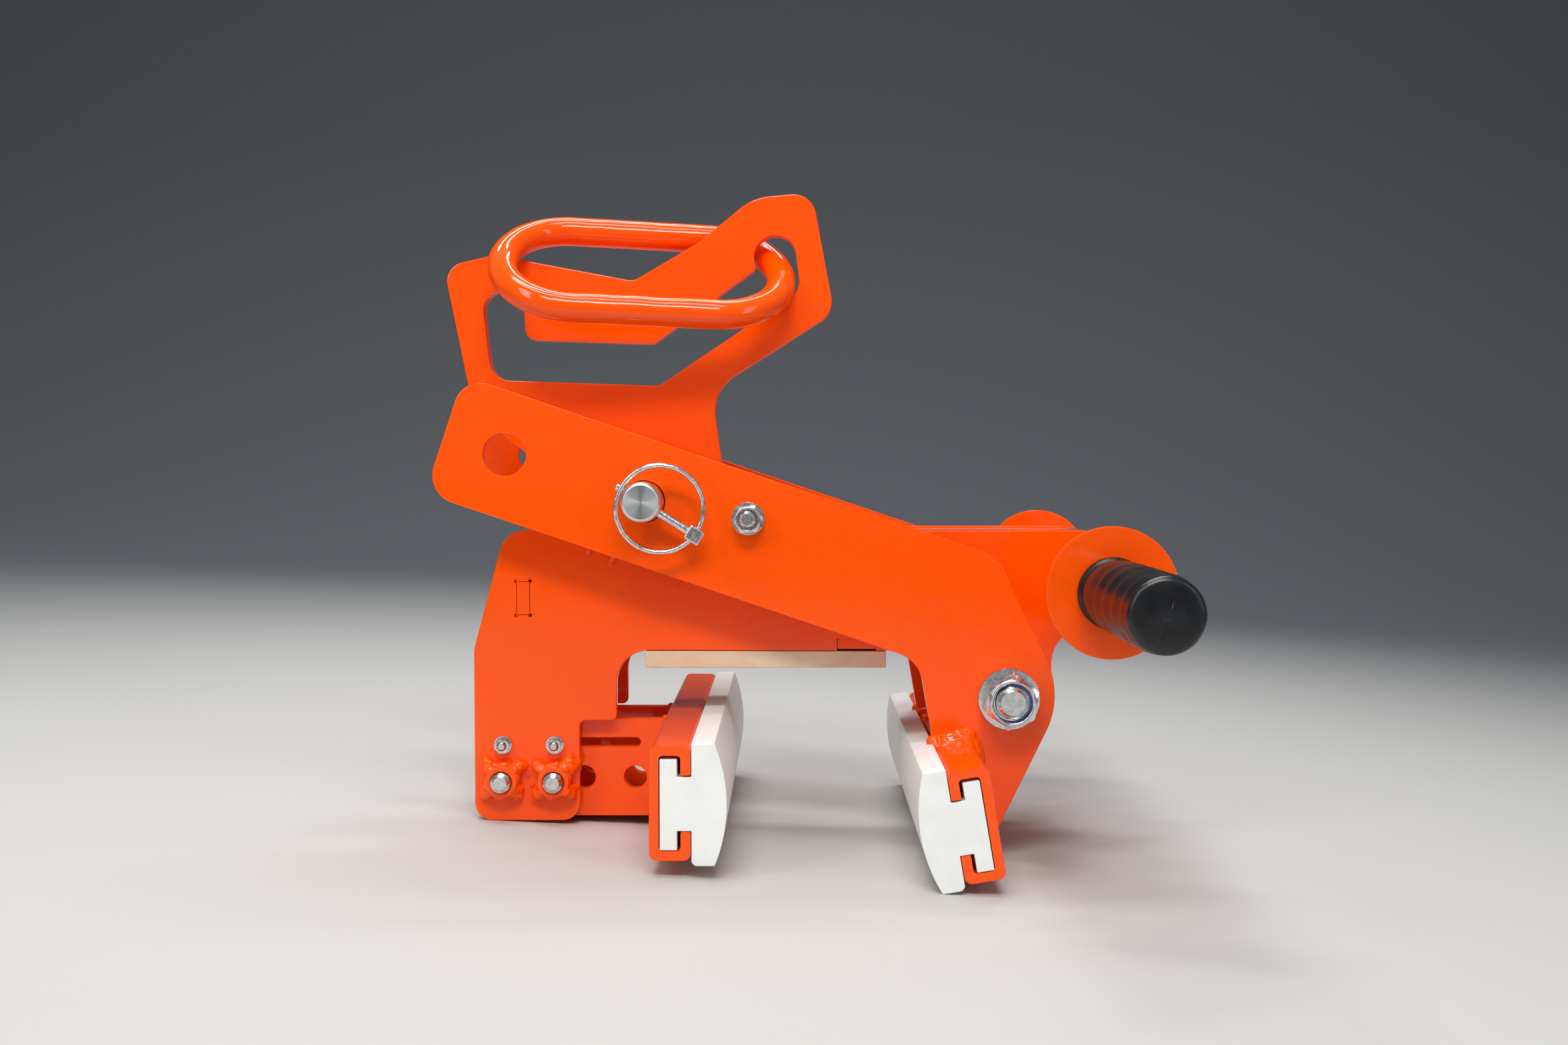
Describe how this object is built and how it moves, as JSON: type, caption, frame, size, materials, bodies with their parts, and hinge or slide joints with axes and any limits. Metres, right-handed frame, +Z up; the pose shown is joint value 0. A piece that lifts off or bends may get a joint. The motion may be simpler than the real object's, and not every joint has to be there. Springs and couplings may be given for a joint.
{
  "type": "stone lifting clamp",
  "caption": "Self-clamping lever grab with a slotted suspension plate, a lifting link, lined jaws and a cross handle, for lifting stone blocks and kerbs.",
  "frame": {"origin": "on the floor under the middle of the clamp's bounding box", "axes": "+X from the fixed jaw's leg towards the handle, +Y to the rear along the handle and the jaws, +Z up"},
  "size_m": [0.3592, 0.446, 0.326],
  "materials": {
    "powder_coat": "glossy orange powder coat",
    "zinc_plate": "bright zinc plate",
    "turned_steel": "turned and zinc plated",
    "jaw_pad": "sawn and milled polyethylene",
    "nylon": "natural nylon, satin",
    "grip_rubber": "moulded, half gloss",
    "nut_insert": "moulded nylon"
  },
  "bodies": {
    "frame": {"frame_plate_front": "powder_coat", "frame_plate_rear": "powder_coat", "frame_end_plate": "powder_coat", "frame_floor_plate": "powder_coat", "frame_top_plate": "powder_coat", "pivot_bush": "powder_coat", "rest_pad": "nylon", "rest_screw_left": "zinc_plate", "rest_screw_right": "zinc_plate", "handle_tube": "powder_coat", "handle_disc_front": "powder_coat", "handle_disc_rear": "powder_coat", "grip_front": "grip_rubber", "grip_rear": "grip_rubber", "fixed_jaw_channel": "powder_coat", "fixed_jaw_pad": "jaw_pad", "fixed_pad_bolt_front": "zinc_plate", "fixed_pad_bolt_rear": "zinc_plate", "carrier": "powder_coat", "clamp_screw_left": "zinc_plate", "clamp_screw_right": "zinc_plate", "weld_nut_left": "powder_coat", "weld_nut_right": "powder_coat", "guide_screw_left": "zinc_plate", "guide_screw_right": "zinc_plate", "guide_washer_left": "zinc_plate", "guide_washer_right": "zinc_plate", "guide_nut_left": "zinc_plate", "guide_nut_right": "zinc_plate"},
    "arm": {"arm_plate_front": "powder_coat", "arm_plate_rear": "powder_coat", "moving_jaw_channel": "powder_coat", "moving_jaw_pad": "jaw_pad", "moving_pad_bolt_front": "zinc_plate", "moving_pad_bolt_rear": "zinc_plate", "pivot_bolt": "zinc_plate", "pivot_washer_front": "zinc_plate", "pivot_washer_rear": "zinc_plate", "pivot_nut": "zinc_plate", "pivot_nut_insert": "nut_insert", "stop_bolt": "zinc_plate", "stop_washer_front": "zinc_plate", "stop_washer_rear": "zinc_plate", "stop_nut": "zinc_plate", "stop_tube_front": "zinc_plate", "stop_tube_rear": "zinc_plate", "lifting_pin": "turned_steel", "pin_tube_front": "powder_coat", "pin_tube_rear": "powder_coat", "linchpin": "zinc_plate", "suspension_plate": "powder_coat"},
    "link": {"lifting_link": "powder_coat"},
    "ring": {"linchpin_ring": "zinc_plate"}
  },
  "joints": [
    {"name": "arm_pivot", "type": "hinge", "parent": "frame", "child": "arm", "pos_m": [0.11477, 0, 0.08013], "axis": [0, 1, 0], "range_deg": [0, 25]},
    {"name": "link_swing", "type": "hinge", "parent": "arm", "child": "link", "pos_m": [-0.01481, 0, 0.28504], "axis": [0, 1, 0], "range_deg": [0, 80]},
    {"name": "linchpin_ring_swing", "type": "hinge", "parent": "arm", "child": "ring", "pos_m": [-0.04196, -0.063, 0.15138], "axis": [0.4834, 0, 0.8754], "range_deg": [0, 120]}
  ]
}
